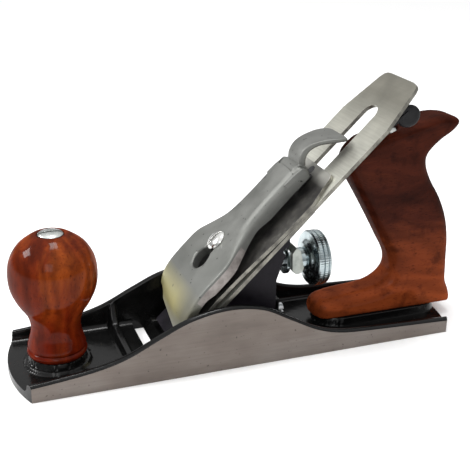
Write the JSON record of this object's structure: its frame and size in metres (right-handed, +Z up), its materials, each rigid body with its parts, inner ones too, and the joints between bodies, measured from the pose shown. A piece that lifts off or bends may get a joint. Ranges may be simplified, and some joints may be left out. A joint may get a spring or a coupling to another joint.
{
  "type": "hand plane",
  "caption": "Bench smoothing plane: iron sole with low curved cheeks, turned front knob, open rear tote, adjustable frog, slotted iron with cap iron, and a keyhole lever cap with cam.",
  "frame": {"origin": "on the underside of the sole, on its centre line, midway between the corners of the toe and the heel", "axes": "+X from toe to heel, +Y to the left of a user pushing the plane towards the toe, +Z up"},
  "size_m": [0.2636, 0.0644, 0.1456],
  "materials": {
    "casting": "machined faces on cheeks and sole, black enamel inside",
    "handle_wood": "gloss varnish",
    "nut_metal": "plated, satin",
    "frog_japan": "black enamel",
    "dark_steel": "blackened",
    "plain_steel": "turned",
    "wheel_metal": "plated, bluish white",
    "black_steel": "black enamel",
    "ground_steel": "ground, satin",
    "screw_nickel": "plated, polished head",
    "nickel_cap": "nickel plate, satin"
  },
  "bodies": {
    "sole": {"sole_body": "casting", "front_knob": "handle_wood", "knob_stud": "plain_steel", "knob_nut": "nut_metal", "tote": "handle_wood", "tote_rod": "plain_steel", "tote_nut": "nut_metal", "frog_screws": "dark_steel", "frog_washers": "plain_steel"},
    "frog_unit": {"frog": "frog_japan", "frog_adjusting_plate": "plain_steel", "plate_screw": "plain_steel", "depth_stud": "plain_steel", "yoke_pin": "plain_steel", "lateral_rivet": "plain_steel"},
    "frog_adjuster": {"frog_adjusting_screw": "plain_steel"},
    "depth_hub": {"depth_nut_hub": "wheel_metal"},
    "depth_wheel": {"depth_nut_wheel": "wheel_metal"},
    "yoke": {"depth_yoke": "plain_steel"},
    "lateral": {"lateral_lever": "black_steel", "lateral_disc": "plain_steel"},
    "cap": {"lever_cap": "nickel_cap", "cap_spring": "plain_steel", "spring_rivet": "plain_steel", "cam_pin": "plain_steel"},
    "cam": {"lever_cap_cam": "nickel_cap"},
    "irons": {"plane_iron": "ground_steel", "cap_iron": "ground_steel", "cap_iron_screw": "dark_steel"},
    "cap_screw": {"lever_cap_screw": "screw_nickel"}
  },
  "joints": [
    {"name": "frog_slide", "type": "slide", "parent": "sole", "child": "frog_unit", "axis": [1, 0, 0], "range_m": [-0.0006, 0.002]},
    {"name": "frog_adjuster_spin", "type": "hinge", "parent": "frog_unit", "child": "frog_adjuster", "pos_m": [0.025, 0, 0.0145], "axis": [1, 0, 0], "range_deg": [-217, 722]},
    {"name": "depth_hub_slide", "type": "slide", "parent": "frog_unit", "child": "depth_hub", "axis": [1, 0, 0], "range_m": [-0.00301, 0.00301]},
    {"name": "depth_wheel_spin", "type": "hinge", "parent": "depth_hub", "child": "depth_wheel", "pos_m": [0.047, 0, 0.044], "axis": [1, 0, 0], "range_deg": [-1080, 1080]},
    {"name": "yoke_tilt", "type": "hinge", "parent": "frog_unit", "child": "yoke", "pos_m": [0.0225, 0, 0.058], "axis": [0, -1, 0], "range_deg": [-12.35, 12.35]},
    {"name": "lateral_swing", "type": "hinge", "parent": "frog_unit", "child": "lateral", "pos_m": [0.02676, 0, 0.07142], "axis": [-0.7071, 0, 0.7071], "range_deg": [-3, 26]},
    {"name": "lateral_skew", "type": "hinge", "parent": "frog_unit", "child": "cap", "pos_m": [0.0006, 0, 0.0495], "axis": [-0.7071, 0, 0.7071], "range_deg": [-0.8, 0.1]},
    {"name": "iron_feed", "type": "slide", "parent": "cap", "child": "irons", "axis": [-0.707, 0.0175, -0.707], "range_m": [0, 0.0312]},
    {"name": "cam_lift", "type": "hinge", "parent": "cap", "child": "cam", "pos_m": [0.03235, 0, 0.09765], "axis": [0, -1, 0], "range_deg": [0, 52]},
    {"name": "cap_screw_spin", "type": "hinge", "parent": "frog_unit", "child": "cap_screw", "pos_m": [0.0006, 0, 0.0495], "axis": [-0.7071, 0, 0.7071], "range_deg": [-180, 180]}
  ],
  "couplings": [
    {"joint": "frog_adjuster_spin", "follows": "frog_slide", "rad_per_m": 6283.2},
    {"joint": "depth_hub_slide", "follows": "depth_wheel_spin", "m_per_rad": -0.00015915},
    {"joint": "yoke_tilt", "follows": "depth_wheel_spin", "ratio": -0.011368},
    {"joint": "lateral_skew", "follows": "lateral_swing", "ratio": -0.03}
  ]
}
